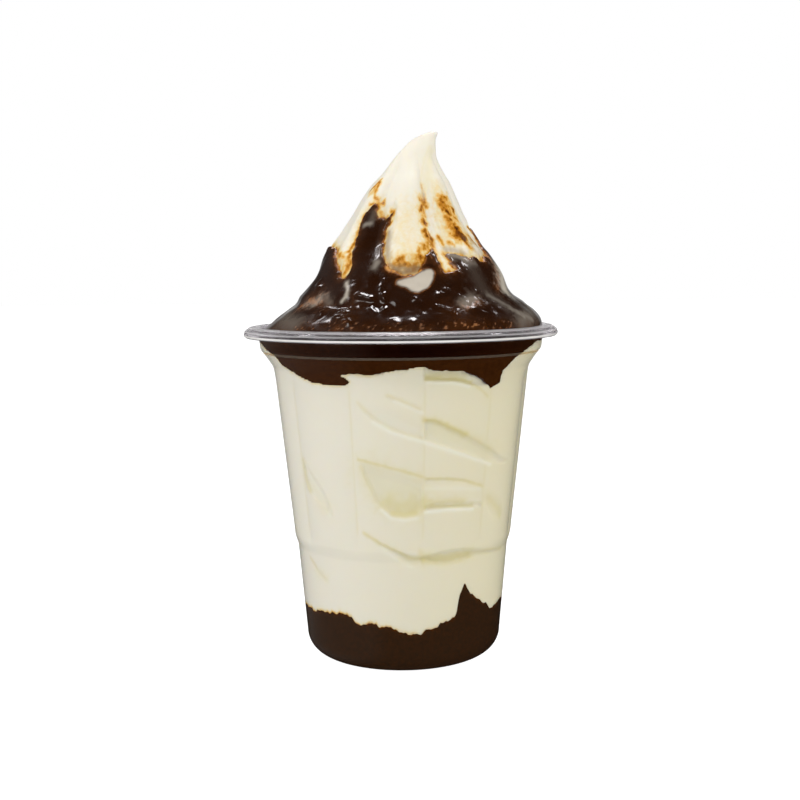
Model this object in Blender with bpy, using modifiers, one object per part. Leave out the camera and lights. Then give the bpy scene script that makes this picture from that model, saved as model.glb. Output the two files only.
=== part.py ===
"""A soft-serve sundae in a clear plastic cup, with chocolate sauce below and above the ice cream.

The cup's base stands on z = 0 and its axis is the Z axis. The front faces -Y. A heading is an
angle about the axis in degrees: 0 is the front, 90 is +X. Sizes are in millimetres, and every
point is scaled to metres as it is made. Each food is a stack of rings, one point a heading, on
headings that they share with the cup, so that neighbours stay a steady gap apart.
"""

import math

import bmesh
import bpy
import numpy as np

MM = 0.001
NAME = "sundae_cup"

# Cup: outside radii against height
WALL = 0.6
BASE_FILLET = 7.0
BASE_FLAT_RADIUS = 23.7
BASE_WALL_RADIUS = BASE_FLAT_RADIUS + BASE_FILLET
LEDGE_BOTTOM = (33.2, 35.2)
LEDGE_TOP = (34.35, 38.5)
SHOULDER = (40.0, 91.0)
FLARE = (42.0, 94.0)
KNEE = (43.9, 96.5)
COLLAR = (44.2, 99.0)

# The rolled rim, which turns out over the collar and down round a nose to its lip
RIM_RADIUS = 49.0
RIM_ROOT = (44.8, 101.1)
RIM_TURN_HEIGHT = 101.7
RIM_CREST = (45.6, 103.5)
RIM_NOSE_HEIGHT = 101.0
RIM_LIP = (48.2, 100.5)

# The wall's upright panels bulge between straight creases
PANELS = 11
CREASE_HEADING = 10.0
CREASE_DEPTH = 0.6
CREASE_FADE = 4.0
STEPS_PER_PANEL = 5
COLUMNS = PANELS * STEPS_PER_PANEL

# Gap that touching pieces keep, and how much wider it is where the wall turns out to the rim
GAP = 0.3
SHOULDER_GAP = 0.45
SHOULDER_GAP_REACH = 3.0

# Syrup in the bottom of the cup: (heading, height against the wall)
SYRUP_EDGE = [
    (-180, 16), (-150, 19), (-120, 14), (-90, 16), (-63, 16.4), (-36, 17), (-16, 15),
    (4, 13), (13, 14), (24, 16.5), (31, 19), (36, 26), (44, 21.5), (58, 17.5), (80, 15.5),
    (110, 18), (145, 13.5), (180, 16),
]
SYRUP_MIDDLE = 14.5
SYRUP_RINGS = (0.9, 0.6)

# Sauce against the wall under the rim: (heading, height of its lower edge)
SAUCE_LOW_EDGE = [
    (-180, 90), (-150, 87), (-125, 93), (-100, 98), (-75, 98.4), (-61, 95.5), (-50, 90),
    (-38, 88), (-25, 87.6), (-18, 91), (0, 92.5), (14, 92.2), (26, 91.5), (35, 89.5),
    (42, 86), (49, 90.5), (57, 96.5), (70, 98.6), (100, 97), (125, 88), (155, 92), (180, 90),
]
# Sauce on the mound: (heading, height of its upper edge)
SAUCE_HIGH_EDGE = [
    (-180, 128), (-150, 134), (-125, 124), (-105, 129), (-81, 128.5), (-64, 126.5), (-55, 122),
    (-50, 121), (-46, 134), (-42, 141), (-36, 139), (-30, 136.3), (-20, 135), (-16, 126),
    (-9, 120.5), (0, 119.5), (8, 122.3), (14, 126), (20, 127), (24, 120.5), (29, 122),
    (33, 125), (44, 123.6), (60, 124), (78, 125.5), (98, 134), (118, 125), (135, 137),
    (155, 124), (180, 128),
]
SAUCE_THICKNESS = 1.7
SAUCE_EDGE_THICKNESS = 0.7

# The mound, sauce included: (height, radius) and (height, shift to +X)
MOUTH = 101.0
MOUND = [
    (MOUTH, 43.6), (103, 43.0), (105.3, 41.6), (107.7, 39.1), (110.2, 35.8), (112.8, 33.2),
    (115.3, 31.1), (120.2, 28.3), (125.2, 25.9), (128.5, 23.2), (132.6, 20.4), (137.5, 17.4),
    (142.5, 14.8), (147.4, 11.9), (150, 9.8), (154.7, 6.7), (158.3, 4.9), (160.7, 3.5),
    (162, 2.3), (162.8, 1.0),
]
LEAN = [
    (MOUTH, 0.0), (105.3, 2.0), (110.2, 2.8), (113, 1.9), (119, 2.8), (127, 2.0), (136, 2.4),
    (145, 3.3), (150, 4.2), (154.7, 5.0), (158.3, 6.5), (160.7, 7.9), (162, 9.4), (162.8, 10.6),
]
TIP = (10.8, 163.2)

# The tip is flattened from front to back: (height, its depth as a share of its width)
TIP_DEPTH = [(MOUTH, 1.0), (146, 1.0), (156, 0.85), (161, 0.6), (163, 0.5)]

# Grooves that run up the peak between the lobes of the piped ice cream, and turn near the tip.
# Each is steep on one side and easy on the other, and those at the two sides are shallow.
LOBES = 7
GROOVE_TWIST = [(118, 26), (126, 25), (134, 22), (141, 18), (148, 15), (158, 0), (163, -12)]
GROOVE_START = 120.0
GROOVE_FULL = 130.0
GROOVE_FADE = (147.0, 160.0)
GROOVE_SIDES = 0.85
GROOVE_SHARE = 0.15
GROOVE_STEEP = 0.14
GROOVE_EASY = 0.30

# Lumps of the coil under the sauce: (heading, height, degrees wide, height of it, bulge)
LUMPS = [
    (-80, 124, 13, 3.2, 1.2), (-55, 113, 15, 5, 0.9), (-28, 116, 14, 5, 1.2),
    (4, 114, 16, 5, 1.4), (33, 117, 15, 5, 1.3), (60, 112, 13, 5, 0.8), (92, 122, 14, 5, 0.3),
    (125, 114, 15, 5, 1.2), (152, 119, 15, 5, 1.3), (-172, 113, 17, 5, 1.3),
    (-142, 118, 16, 5, 1.4), (-112, 113, 13, 5, 0.8),
]

# Folds of the ice cream at the wall, where it curls clear of the plastic. Each one runs between
# two headings and has a height at both ends, a sag, how far it opens and how deep it goes.
FOLDS = [
    (-26, 60, 83.5, 61.5, 1.0, 6.5, 2.4),
    (-21, 40, 60.5, 55.0, -1.0, 12.0, 4.5),
    (-20, 76, 43.0, 34.5, -2.5, 4.5, 2.2),
    (-60, -33, 66.0, 47.0, -1.5, 6.5, 2.6),
    (-61, -38, 32.0, 26.0, 0.0, 3.5, 1.4),
    (43, 58, 54.0, 45.0, 0.0, 4.0, 1.6),
]
BACK_FOLDS = 8
BACK_FOLD_SPREAD = 46.0


def through(knots, x):
    """A monotone cubic curve through (x, y) knots, which adds no bumps of its own."""
    xs, ys = np.array(knots, dtype=float).T
    x = np.clip(np.asarray(x, dtype=float), xs[0], xs[-1])
    step = np.diff(xs)
    rise = np.diff(ys) / step
    product = rise[1:] * rise[:-1]
    total = np.where(product > 0, rise[1:] + rise[:-1], 1.0)
    inner = np.where(product > 0, 2.0 * product / total, 0.0)
    slope = np.concatenate(([rise[0]], inner, [rise[-1]]))
    i = np.clip(np.searchsorted(xs, x) - 1, 0, len(step) - 1)
    t = (x - xs[i]) / step[i]
    start = ys[i] * (1 + 2 * t) + slope[i] * step[i] * t
    end = ys[i + 1] * (3 - 2 * t) + slope[i + 1] * step[i] * (t - 1)
    return start * (1 - t) ** 2 + end * t**2


def eased(low, high, x):
    """0 below low, 1 above high, smooth between."""
    t = np.clip((x - low) / (high - low), 0.0, 1.0)
    return t * t * (3 - 2 * t)


def turned(heading):
    """A heading brought into -180 to 180."""
    return (np.asarray(heading) + 180.0) % 360.0 - 180.0


def headings():
    """The headings of the points in every ring, with a crease on each fifth one."""
    return turned(CREASE_HEADING + np.arange(COLUMNS) * 360.0 / COLUMNS)


def crease(heading, z):
    """How far the wall lies inside its round form."""
    phase = ((heading - CREASE_HEADING) * PANELS / 360.0) % 1.0
    low = eased(LEDGE_TOP[1] - CREASE_FADE / 2, LEDGE_TOP[1] + CREASE_FADE / 2, z)
    high = 1 - eased(SHOULDER[1] - CREASE_FADE, SHOULDER[1], z)
    return CREASE_DEPTH * (1 - 4 * phase * (1 - phase)) * low * high


def wall_radius(z):
    """Outside radius of the round cup above its base fillet."""
    knots = [(BASE_WALL_RADIUS, BASE_FILLET), LEDGE_BOTTOM, LEDGE_TOP, SHOULDER, FLARE, KNEE]
    knots += [COLLAR, RIM_ROOT]
    radii, heights = zip(*knots)
    return np.interp(z, heights, radii)


def content_radius(heading, z):
    """Radius of what fills the cup, a gap inside the wall."""
    turn = SHOULDER_GAP * np.exp(-(((z - SHOULDER[1]) / SHOULDER_GAP_REACH) ** 2))
    return wall_radius(z) - crease(heading, z) - WALL - GAP - turn


def point(radius, heading, z, shift=0.0, depth=1.0):
    """Places on a ring, in millimetres."""
    a = np.radians(heading)
    ring = (radius * np.sin(a) + shift, -radius * np.cos(a) * depth, z)
    return np.stack(np.broadcast_arrays(*ring), -1)


def collection(name):
    """A new collection in the scene."""
    made = bpy.data.collections.new(name)
    bpy.context.scene.collection.children.link(made)
    return made


def material(name, colour, roughness, **inputs):
    """A Principled BSDF material; inputs are further sockets by name."""
    made = bpy.data.materials.new(name)
    made.use_nodes = True
    shader = made.node_tree.nodes["Principled BSDF"]
    shader.inputs["Base Color"].default_value = (*colour, 1.0)
    shader.inputs["Roughness"].default_value = roughness
    shader.inputs["Metallic"].default_value = 0.0
    for socket, value in inputs.items():
        shader.inputs[socket.replace("_", " ")].default_value = value
    return made


def add(name, mesh, surface, parts):
    """An object for a mesh, smooth but for its sharp edges."""
    mesh.materials.append(surface)
    mesh.shade_smooth()
    mesh.set_sharp_from_angle(angle=math.radians(35))
    made = bpy.data.objects.new(name, mesh)
    parts.objects.link(made)
    return made


def lofted(name, rings, like=None, closed=False):
    """A mesh over rings of points, bottom to top. A ring of one point is a pole.

    Each quadrangle between rings is split along the shorter diagonal of the rings in like, so
    that two surfaces made like the same rings lie parallel. closed joins the last ring to the
    first, for a collar with a hole through it.
    """
    shape = bmesh.new()
    rows = [[shape.verts.new(p * MM) for p in np.atleast_2d(ring)] for ring in rings]
    forms = [np.atleast_2d(ring) for ring in (rings if like is None else like)]
    bands = list(zip(rows, rows[1:], forms, forms[1:]))
    if closed:
        bands.append((rows[-1], rows[0], forms[-1], forms[0]))
    for low, high, below, above in bands:
        for j in range(COLUMNS):
            k = (j + 1) % COLUMNS
            if len(low) == 1:
                shape.faces.new((low[0], high[k], high[j]))
            elif len(high) == 1:
                shape.faces.new((low[j], low[k], high[0]))
            elif np.linalg.norm(below[j] - above[k]) < np.linalg.norm(below[k] - above[j]):
                shape.faces.new((low[j], low[k], high[k]))
                shape.faces.new((low[j], high[k], high[j]))
            else:
                shape.faces.new((low[j], low[k], high[j]))
                shape.faces.new((low[k], high[k], high[j]))
    mesh = bpy.data.meshes.new(name)
    shape.to_mesh(mesh)
    shape.free()
    return mesh


def cup_profile():
    """The cup's outside, from the lip of its rolled rim down the wall to the middle of its base.
    In the rim, whose sheet turns over, it is the side that faces into the roll."""
    path = [RIM_LIP]
    crest, top = RIM_CREST[0], RIM_CREST[1] - WALL
    for degrees in (0, 35, 65, 90, 135, 180):
        a = math.radians(degrees)
        across = RIM_RADIUS - WALL - crest if degrees < 90 else crest - RIM_ROOT[0]
        foot = RIM_NOSE_HEIGHT if degrees < 90 else RIM_TURN_HEIGHT
        path.append((crest + across * math.cos(a), foot + (top - foot) * math.sin(a)))
    path += [RIM_ROOT, COLLAR, KNEE, FLARE, SHOULDER]
    path.append((float(wall_radius(SHOULDER[1] - CREASE_FADE)), SHOULDER[1] - CREASE_FADE))
    path.append((float(wall_radius(LEDGE_TOP[1] + CREASE_FADE / 2)), LEDGE_TOP[1] + CREASE_FADE / 2))
    path += [LEDGE_TOP, LEDGE_BOTTOM]
    for degrees in (90, 60, 30, 0):
        a = math.radians(degrees)
        across = BASE_FLAT_RADIUS + BASE_FILLET * math.sin(a)
        path.append((across, BASE_FILLET * (1 - math.cos(a))))
    path.append((0.0, 0.0))
    return path


def make_cup(parts):
    """The clear cup: a turned shell with creases pressed into its wall."""
    start = math.radians(CREASE_HEADING - 90.0)
    outline = bpy.data.meshes.new("cup_outline")
    corners = [
        (r * MM * math.cos(start), r * MM * math.sin(start), z * MM) for r, z in cup_profile()
    ]
    outline.from_pydata(corners, [(i, i + 1) for i in range(len(corners) - 1)], [])
    former = bpy.data.objects.new("cup_former", outline)
    parts.objects.link(former)
    screw = former.modifiers.new("turn", "SCREW")
    screw.steps = COLUMNS
    screw.render_steps = COLUMNS
    screw.use_merge_vertices = True
    screw.merge_threshold = 0.00001
    settled = former.evaluated_get(bpy.context.evaluated_depsgraph_get())
    mesh = bpy.data.meshes.new_from_object(settled)
    mesh.name = "cup"
    bpy.data.objects.remove(former)
    bpy.data.meshes.remove(outline)

    shape = bmesh.new()
    shape.from_mesh(mesh)
    bmesh.ops.remove_doubles(shape, verts=shape.verts, dist=0.00001)
    for v in shape.verts:
        radius = math.hypot(v.co.x, v.co.y)
        if radius > BASE_FLAT_RADIUS * MM:
            heading = math.degrees(math.atan2(v.co.x, -v.co.y))
            share = 1 - crease(heading, v.co.z / MM) * MM / radius
            v.co.x *= share
            v.co.y *= share
    shape.to_mesh(mesh)
    shape.free()

    clear = material("clear_plastic", (0.95, 0.96, 0.96), 0.05, Transmission_Weight=1.0, IOR=1.5)
    cup = add("cup", mesh, clear, parts)
    shell = cup.modifiers.new("wall", "SOLIDIFY")
    shell.thickness = WALL * MM
    shell.offset = -1.0
    return cup


def syrup_surface(share):
    """The top of the syrup at a share of the way from the axis to the wall, and its edge."""
    angle = headings()
    edge = through(SYRUP_EDGE, angle)
    return SYRUP_MIDDLE + (edge - SYRUP_MIDDLE) * share**4, edge


def bottom_rings():
    """The rings of the filling under its straight wall, on the cup's floor."""
    angle = headings()
    floor = WALL + GAP
    rings = [np.array([[0.0, 0.0, floor]])]
    inner = BASE_FILLET - WALL - GAP
    for degrees in (0, 30, 60, 90):
        a = math.radians(degrees)
        across = BASE_FLAT_RADIUS + inner * math.sin(a)
        rings.append(point(across, angle, BASE_FILLET - inner * math.cos(a)))
    return rings


def make_syrup(parts):
    """Syrup pooled in the bottom, with an uneven edge that climbs the wall in one place."""
    angle = headings()
    rings = bottom_rings()
    edge = syrup_surface(1.0)[1]
    for share in (0.5, 1.0):
        z = BASE_FILLET + (edge - BASE_FILLET) * share
        rings.append(point(content_radius(angle, z), angle, z))
    for share in SYRUP_RINGS:
        z = syrup_surface(share)[0]
        rings.append(point(content_radius(angle, edge) * share, angle, z))
    rings.append(np.array([[0.0, 0.0, SYRUP_MIDDLE]]))
    brown = material("bottom_syrup", (0.05, 0.022, 0.009), 0.15)
    return add("sauce_bottom", lofted("sauce_bottom", rings), brown, parts)


def folds():
    """The folds that the front shows, and others like them round the back."""
    every = list(FOLDS)
    for i in range(BACK_FOLDS):
        start = 72.0 + (i % 4) * BACK_FOLD_SPREAD
        height = 79.0 - 11.0 * (i // 4) * 2 - 5.0 * (i % 3)
        drop = 9.0 + 3.0 * (i % 2)
        opening = 5.0 + 2.0 * ((i + 1) % 3)
        depth = 1.8 + 0.6 * (i % 3)
        every.append((start, start + BACK_FOLD_SPREAD + 8.0, height, height - drop, -1, opening, depth))
    return every


def fold_depth(heading, z):
    """How far the ice cream lies inside the wall: sheer under each fold's upper lip, then easing
    back out to the wall at its lower one."""
    depth = np.zeros(np.broadcast(heading, z).shape)
    for first, last, start, end, sag, opening, deep in folds():
        along = ((heading - first) % 360.0) / (last - first)
        swell = np.sin(np.pi * np.clip(along, 0.0, 1.0)) ** 0.7
        middle = start + (end - start) * along + sag * swell
        across = (z - middle) / (opening / 2 * np.maximum(swell, 0.05))
        lip = eased(-1.0, 0.6, across) * (1 - eased(0.75, 1.1, across))
        depth = np.maximum(depth, deep * swell * lip * (along < 1.0))
    return depth


def groove(heading, z):
    """How far the peak lies inside its round form, as a share of its radius."""
    phase = ((heading - through(GROOVE_TWIST, z)) * LOBES / 360.0 + 0.5) % 1.0 - 0.5
    steep = np.exp(-np.abs(phase / GROOVE_STEEP) ** 1.5)
    easy = np.exp(-np.abs(phase / GROOVE_EASY) ** 1.5)
    full = eased(GROOVE_START, GROOVE_FULL, z) * (1 - 0.85 * eased(*GROOVE_FADE, z))
    full = full * (1 - GROOVE_SIDES * np.exp(-(((np.abs(turned(heading)) - 90) / 28) ** 2)))
    return GROOVE_SHARE * np.where(phase < 0, steep, easy) * full


def lumps(heading, z):
    """How far the coil stands out from the mound's round form."""
    out = 0.0
    for where, height, width, tall, bulge in LUMPS:
        off = turned(heading - where) / width
        out = out + bulge * np.exp(-(off**2) - ((z - height) / tall) ** 2)
    return out


def mound(heading, z):
    """The outside of the mound, sauce included."""
    radius = through(MOUND, z) * (1 - groove(heading, z)) + lumps(heading, z)
    return point(radius, heading, z, through(LEAN, z), through(TIP_DEPTH, z))


def contents():
    """The outside of all that stands over the syrup, as rows of points from the syrup's edge to
    the tip, with the rows at which the sauce starts and ends."""
    angle = headings()
    foot = syrup_surface(1.0)[1] + 2 * GAP
    low = through(SAUCE_LOW_EDGE, angle)
    high = through(SAUCE_HIGH_EDGE, angle)
    tip = np.full(COLUMNS, MOUND[-1][0])
    mouth = np.full(COLUMNS, MOUTH)
    stretches = [(foot, low, 22), (low, mouth, 4), (mouth, high, 7), (high, tip, 12)]
    heights = [foot]
    for below, above, steps in stretches:
        heights += [below + (above - below) * (i + 1) / steps for i in range(steps)]
    first = stretches[0][2]
    last = first + stretches[1][2] + stretches[2][2]
    rows = []
    for z in heights:
        on_wall = point(content_radius(angle, np.minimum(z, MOUTH)), angle, z)
        rows.append(np.where((z <= MOUTH)[:, None], on_wall, mound(angle, np.maximum(z, MOUTH))))
    return np.array(rows), np.array(heights), first, last


def outward(rows):
    """Unit vectors that point out of a stack of rings."""
    round_it = np.roll(rows, -1, 1) - np.roll(rows, 1, 1)
    up = np.gradient(rows, axis=0)
    normal = np.cross(round_it, up)
    return normal / np.linalg.norm(normal, axis=2, keepdims=True)


def sauce_depth(rows, first, last):
    """How thick the sauce is at each point, thinner at both of its edges."""
    i = np.arange(len(rows))[:, None]
    inside = np.minimum(i - first, last - i)
    thick = SAUCE_EDGE_THICKNESS + (SAUCE_THICKNESS - SAUCE_EDGE_THICKNESS) * eased(0, 2, inside)
    return np.where(inside >= 0, thick, 0.0) * np.ones(rows.shape[:2])


def make_ice_cream(parts):
    """One body of soft serve: it fills the cup over the syrup and rises to a leaning peak."""
    angle = headings()
    rows, heights, first, last = contents()
    sauce = sauce_depth(rows, first, last)
    depth = np.where(sauce > 0, sauce + GAP, 0.0)
    on_wall = np.arange(len(rows))[:, None] < first
    clear_of_ends = eased(0, 4, heights - heights[0]) * eased(0, 4, heights[first] - heights)
    relief = fold_depth(angle, heights) * clear_of_ends
    depth = np.where(on_wall, relief, depth)
    surface = rows - outward(rows) * depth[..., None]

    edge = syrup_surface(1.0)[1]
    rings = [np.array([[0.0, 0.0, SYRUP_MIDDLE + 2 * GAP]])]
    for share in reversed(SYRUP_RINGS):
        z = syrup_surface(share)[0] + 2 * GAP
        rings.append(point(content_radius(angle, edge) * share, angle, z))
    tip = [np.array([[TIP[0], 0.0, TIP[1]]])]
    mesh = lofted("ice_cream", rings + list(surface) + tip, like=rings + list(rows) + tip)
    ivory = material("soft_serve", (0.84, 0.79, 0.66), 0.45, Subsurface_Weight=0.2)
    return add("ice_cream", mesh, ivory, parts)


def make_sauce(parts):
    """A collar of thick sauce: it lies between ice cream and wall under the rim, and coats the
    coil above it, with tongues that run up the grooves of the peak."""
    rows, _, first, last = contents()
    sauce = sauce_depth(rows, first, last)
    inner = rows - outward(rows) * sauce[..., None]
    outside = list(rows[first : last + 1])
    inside = list(inner[first : last + 1][::-1])
    mesh = lofted("sauce_top", outside + inside, like=outside + outside[::-1], closed=True)
    dark = material("chocolate_sauce", (0.022, 0.009, 0.004), 0.1)
    return add("sauce_top", mesh, dark, parts)


def main():
    for thing in list(bpy.data.objects):
        bpy.data.objects.remove(thing)
    parts = collection(NAME)
    make_cup(parts)
    make_syrup(parts)
    make_ice_cream(parts)
    make_sauce(parts)


main()
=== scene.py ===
"""The looks of a soft-serve sundae in a clear plastic cup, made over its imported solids.

Each piece stands for one solid and keeps its form. Sizes are in millimetres and become metres as
a mesh is made. A heading is an angle about the cup's axis in degrees: 0 is the front (-Y), 90 is
+X. What fills the cup is a stack of rings that follow the cup's wall up to its mouth and the
mound above it. The sauce has one outline over both, and wherever it ends, the ice cream shows.
"""

import math

import bpy
import numpy as np
from mathutils import Matrix, Vector


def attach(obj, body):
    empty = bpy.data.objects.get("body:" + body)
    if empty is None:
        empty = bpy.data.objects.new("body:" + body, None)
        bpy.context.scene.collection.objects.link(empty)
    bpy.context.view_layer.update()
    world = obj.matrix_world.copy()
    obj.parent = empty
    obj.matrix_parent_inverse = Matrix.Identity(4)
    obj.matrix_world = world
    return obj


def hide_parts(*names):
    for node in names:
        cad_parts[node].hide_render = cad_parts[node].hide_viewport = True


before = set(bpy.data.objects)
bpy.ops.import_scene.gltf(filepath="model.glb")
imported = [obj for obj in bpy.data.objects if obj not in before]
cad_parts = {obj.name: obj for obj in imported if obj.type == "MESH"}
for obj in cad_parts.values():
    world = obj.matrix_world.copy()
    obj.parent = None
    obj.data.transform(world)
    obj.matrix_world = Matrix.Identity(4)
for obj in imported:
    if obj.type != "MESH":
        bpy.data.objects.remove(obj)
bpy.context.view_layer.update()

MM = 0.001

# Cup: outside radii against height, as in the solids
WALL = 0.6
BASE_FILLET = 7.0
BASE_FLAT_RADIUS = 23.7
BASE_WALL_RADIUS = BASE_FLAT_RADIUS + BASE_FILLET
LEDGE_BOTTOM = (33.2, 35.2)
LEDGE_TOP = (34.35, 38.5)
SHOULDER = (40.0, 91.0)
FLARE = (42.0, 94.0)
KNEE = (43.9, 96.5)
COLLAR = (44.2, 99.0)
RIM_RADIUS = 49.0
RIM_ROOT = (44.8, 101.1)
RIM_CREST = (45.6, 103.5)
RIM_NOSE_HEIGHT = 101.0
RIM_TURN_HEIGHT = 101.7
RIM_LIP = (48.5, 100.9)
# How far round each bend of the sheet its corner is softened, where that isn't 0.4
SOFTNESS = {KNEE: 0.5, FLARE: 0.8, SHOULDER: 0.9, LEDGE_TOP: 1.0, LEDGE_BOTTOM: 0.8}
# Ridges along the rolled rim, as (from, to) heights. The lowest is the sheet's cut lip.
RIM_RIDGES = [(100.5, 101.05), (101.8, 102.3), (102.95, 103.6)]
RIM_RIDGE = 0.08
KNEE_RIDGE = (95.6, 95.95)
PANELS = 11
CREASE_HEADING = 10.0
CREASE_DEPTH = 0.6
CREASE_FADE = 4.0
# Strength and width of the painted shade down each crease
CREASE_SHADE = 0.2
CREASE_SHADE_WIDTH = 0.4
MOUTH = 101.0

# How far the food reaches into the plastic, so that no air shows between them
REACH = 0.42

# Columns of each mesh, how much closer the food's lie at the front than at the back, and its
# rows below the mouth: (up to height, how many)
CUP_COLUMNS = PANELS * 24
SYRUP_COLUMNS = 420
ICE_CREAM_COLUMNS = 350
SAUCE_COLUMNS = 480
CROWDING = 0.35
ICE_CREAM_WALL_ROWS = [(30.0, 30), (90.0, 118), (MOUTH, 10)]
SAUCE_WALL_ROWS = 40
SAUCE_MOUND_ROWS = 122
SAUCE_BACK_ROWS = 9

# Camera: lens and sensor in mm, place in metres and turns in degrees. The lights face MIDDLE.
CAMERA_LENS = 55.87
CAMERA_SENSOR = 36.0
CAMERA_PLACE = (0.0, -0.390, 0.121)
CAMERA_TURN = 0.064
CAMERA_TILT = 6.042
CAMERA_ROLL = -0.56
MIDDLE = (0, 0, 0.09)
FLOOR_GAP = 0.0001
ROOM_LIGHT = 0.55
ROOM_COLOUR = (1.0, 0.99, 0.975)
# Lights: name, place, (width, height), power, colour, seen in gloss, and lights surfaces
LIGHTS = [
    ("key", (-0.50, -0.42, 0.62), (0.22, 0.22), 0.8, (1.0, 0.985, 0.96), True, True),
    ("front", (0.05, -0.62, 0.72), (0.50, 0.35), 2.3, (1.0, 0.99, 0.97), False, True),
    ("left", (-0.80, 0.05, 0.30), (0.50, 0.50), 1.0, (1.0, 0.99, 0.98), False, True),
    ("right", (0.80, 0.05, 0.30), (0.50, 0.50), 1.1, (1.0, 0.97, 0.90), False, True),
    ("top", (0.05, 0.10, 0.85), (0.55, 0.45), 0.8, (1.0, 0.99, 0.98), False, True),
    ("glint", (0.02, 0.36, 0.86), (0.24, 0.18), 2.8, (1.0, 0.97, 1.0), True, False),
    ("glint_left", (-0.45, 0.30, 0.80), (0.09, 0.09), 0.4, (1.0, 0.97, 1.0), True, False),
    ("glint_right", (0.45, 0.30, 0.80), (0.09, 0.09), 0.4, (1.0, 0.97, 1.0), True, False),
]

# The mound, sauce included: (height, radius) and (height, shift to +X)
MOUND = [
    (MOUTH, 43.6), (103, 43.0), (105.3, 41.6), (107.7, 39.1), (110.2, 35.8), (112.8, 33.2), (115.3, 31.1),
    (120.2, 28.3), (125.2, 25.9), (128.5, 23.2), (132.6, 20.4), (137.5, 17.4), (142.5, 14.8),
    (147.4, 11.9), (150, 9.8), (154.7, 6.7), (158.3, 4.9), (160.7, 3.6), (162, 2.6), (162.8, 1.5),
]
LEAN = [
    (MOUTH, 0.0), (105.3, 2.0), (110.2, 2.8), (113, 1.9), (119, 2.8), (127, 2.0), (136, 2.4), (145, 3.3),
    (150, 4.2), (154.7, 5.0), (158.3, 6.5), (160.7, 7.9), (162, 9.4), (162.8, 10.6),
]
TIP = (10.8, 163.2)
ICE_CREAM_MOUND_ROWS = [(MOUTH, 117.0, 14), (117.0, MOUND[-1][0], 112)]
TIP_DEPTH = [(MOUTH, 1.0), (146, 1.0), (156, 0.85), (161, 0.6), (163, 0.5)]

# Grooves that run up the peak between its lobes. Each is steep on one side and easy on the other.
# GROOVE_SIDES and GROOVE_LOSS say how much shallower they are at left and right and at the tip.
LOBES = 7
GROOVE_TWIST = [(118, 26), (126, 25), (134, 22), (141, 18), (148, 15), (158, 0), (163, -12)]
GROOVE_START = 120.0
GROOVE_FULL = 130.0
GROOVE_FADE = (147.0, 160.0)
GROOVE_SIDES = 0.85
GROOVE_LOSS = 0.85
GROOVE_SHARE = 0.15
GROOVE_STEEP = 0.16
GROOVE_EASY = 0.30

# Lumps of the coil under the sauce: (heading, height, degrees wide, height of it, bulge)
LUMPS = [
    (-80, 128.2, 13, 1.7, 1.2), (-55, 113, 15, 5, 0.9), (-28, 116, 14, 5, 1.2), (4, 114, 16, 5, 1.4),
    (33, 117, 15, 5, 1.3), (58, 112, 12, 5, 0.6), (92, 129, 14, 5, 0.6), (125, 114, 15, 5, 1.2),
    (152, 119, 15, 5, 1.3), (-172, 113, 17, 5, 1.3), (-142, 118, 16, 5, 1.4), (-112, 113, 13, 5, 0.8),
]

# Syrup in the bottom: the height of its edge against the wall, by heading
SYRUP_EDGE = [
    (-180, 16), (-165, 17.5), (-150, 19), (-135, 15.5), (-120, 14), (-105, 16.5), (-90, 16), (-80, 16.3),
    (-72, 16.5), (-56, 16.8), (-45, 17.6), (-37, 18), (-30, 17.5), (-26, 15.5), (-17, 16.2), (-11, 15.2),
    (-5, 14.8), (-2, 13.6), (4, 13.2), (9, 12.5), (12, 14), (19, 14.8), (20.5, 16.2), (28, 16.6),
    (30, 17.4), (30.6, 19.8), (31.4, 22.8), (32.8, 25.2), (34.6, 27.4), (36, 26.3), (37.4, 24.9),
    (40, 23.3), (44, 21.6), (49, 20.2), (53, 19), (58, 17.2), (65, 17.4), (72, 18.4), (81, 17),
    (90, 17.5), (110, 18), (128, 15), (145, 13.5), (163, 15.5), (180, 16),
]
SYRUP_MIDDLE = 14.5
SYRUP_FILM = 0.97
ICE_CREAM_FOOT = 13.5

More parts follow.
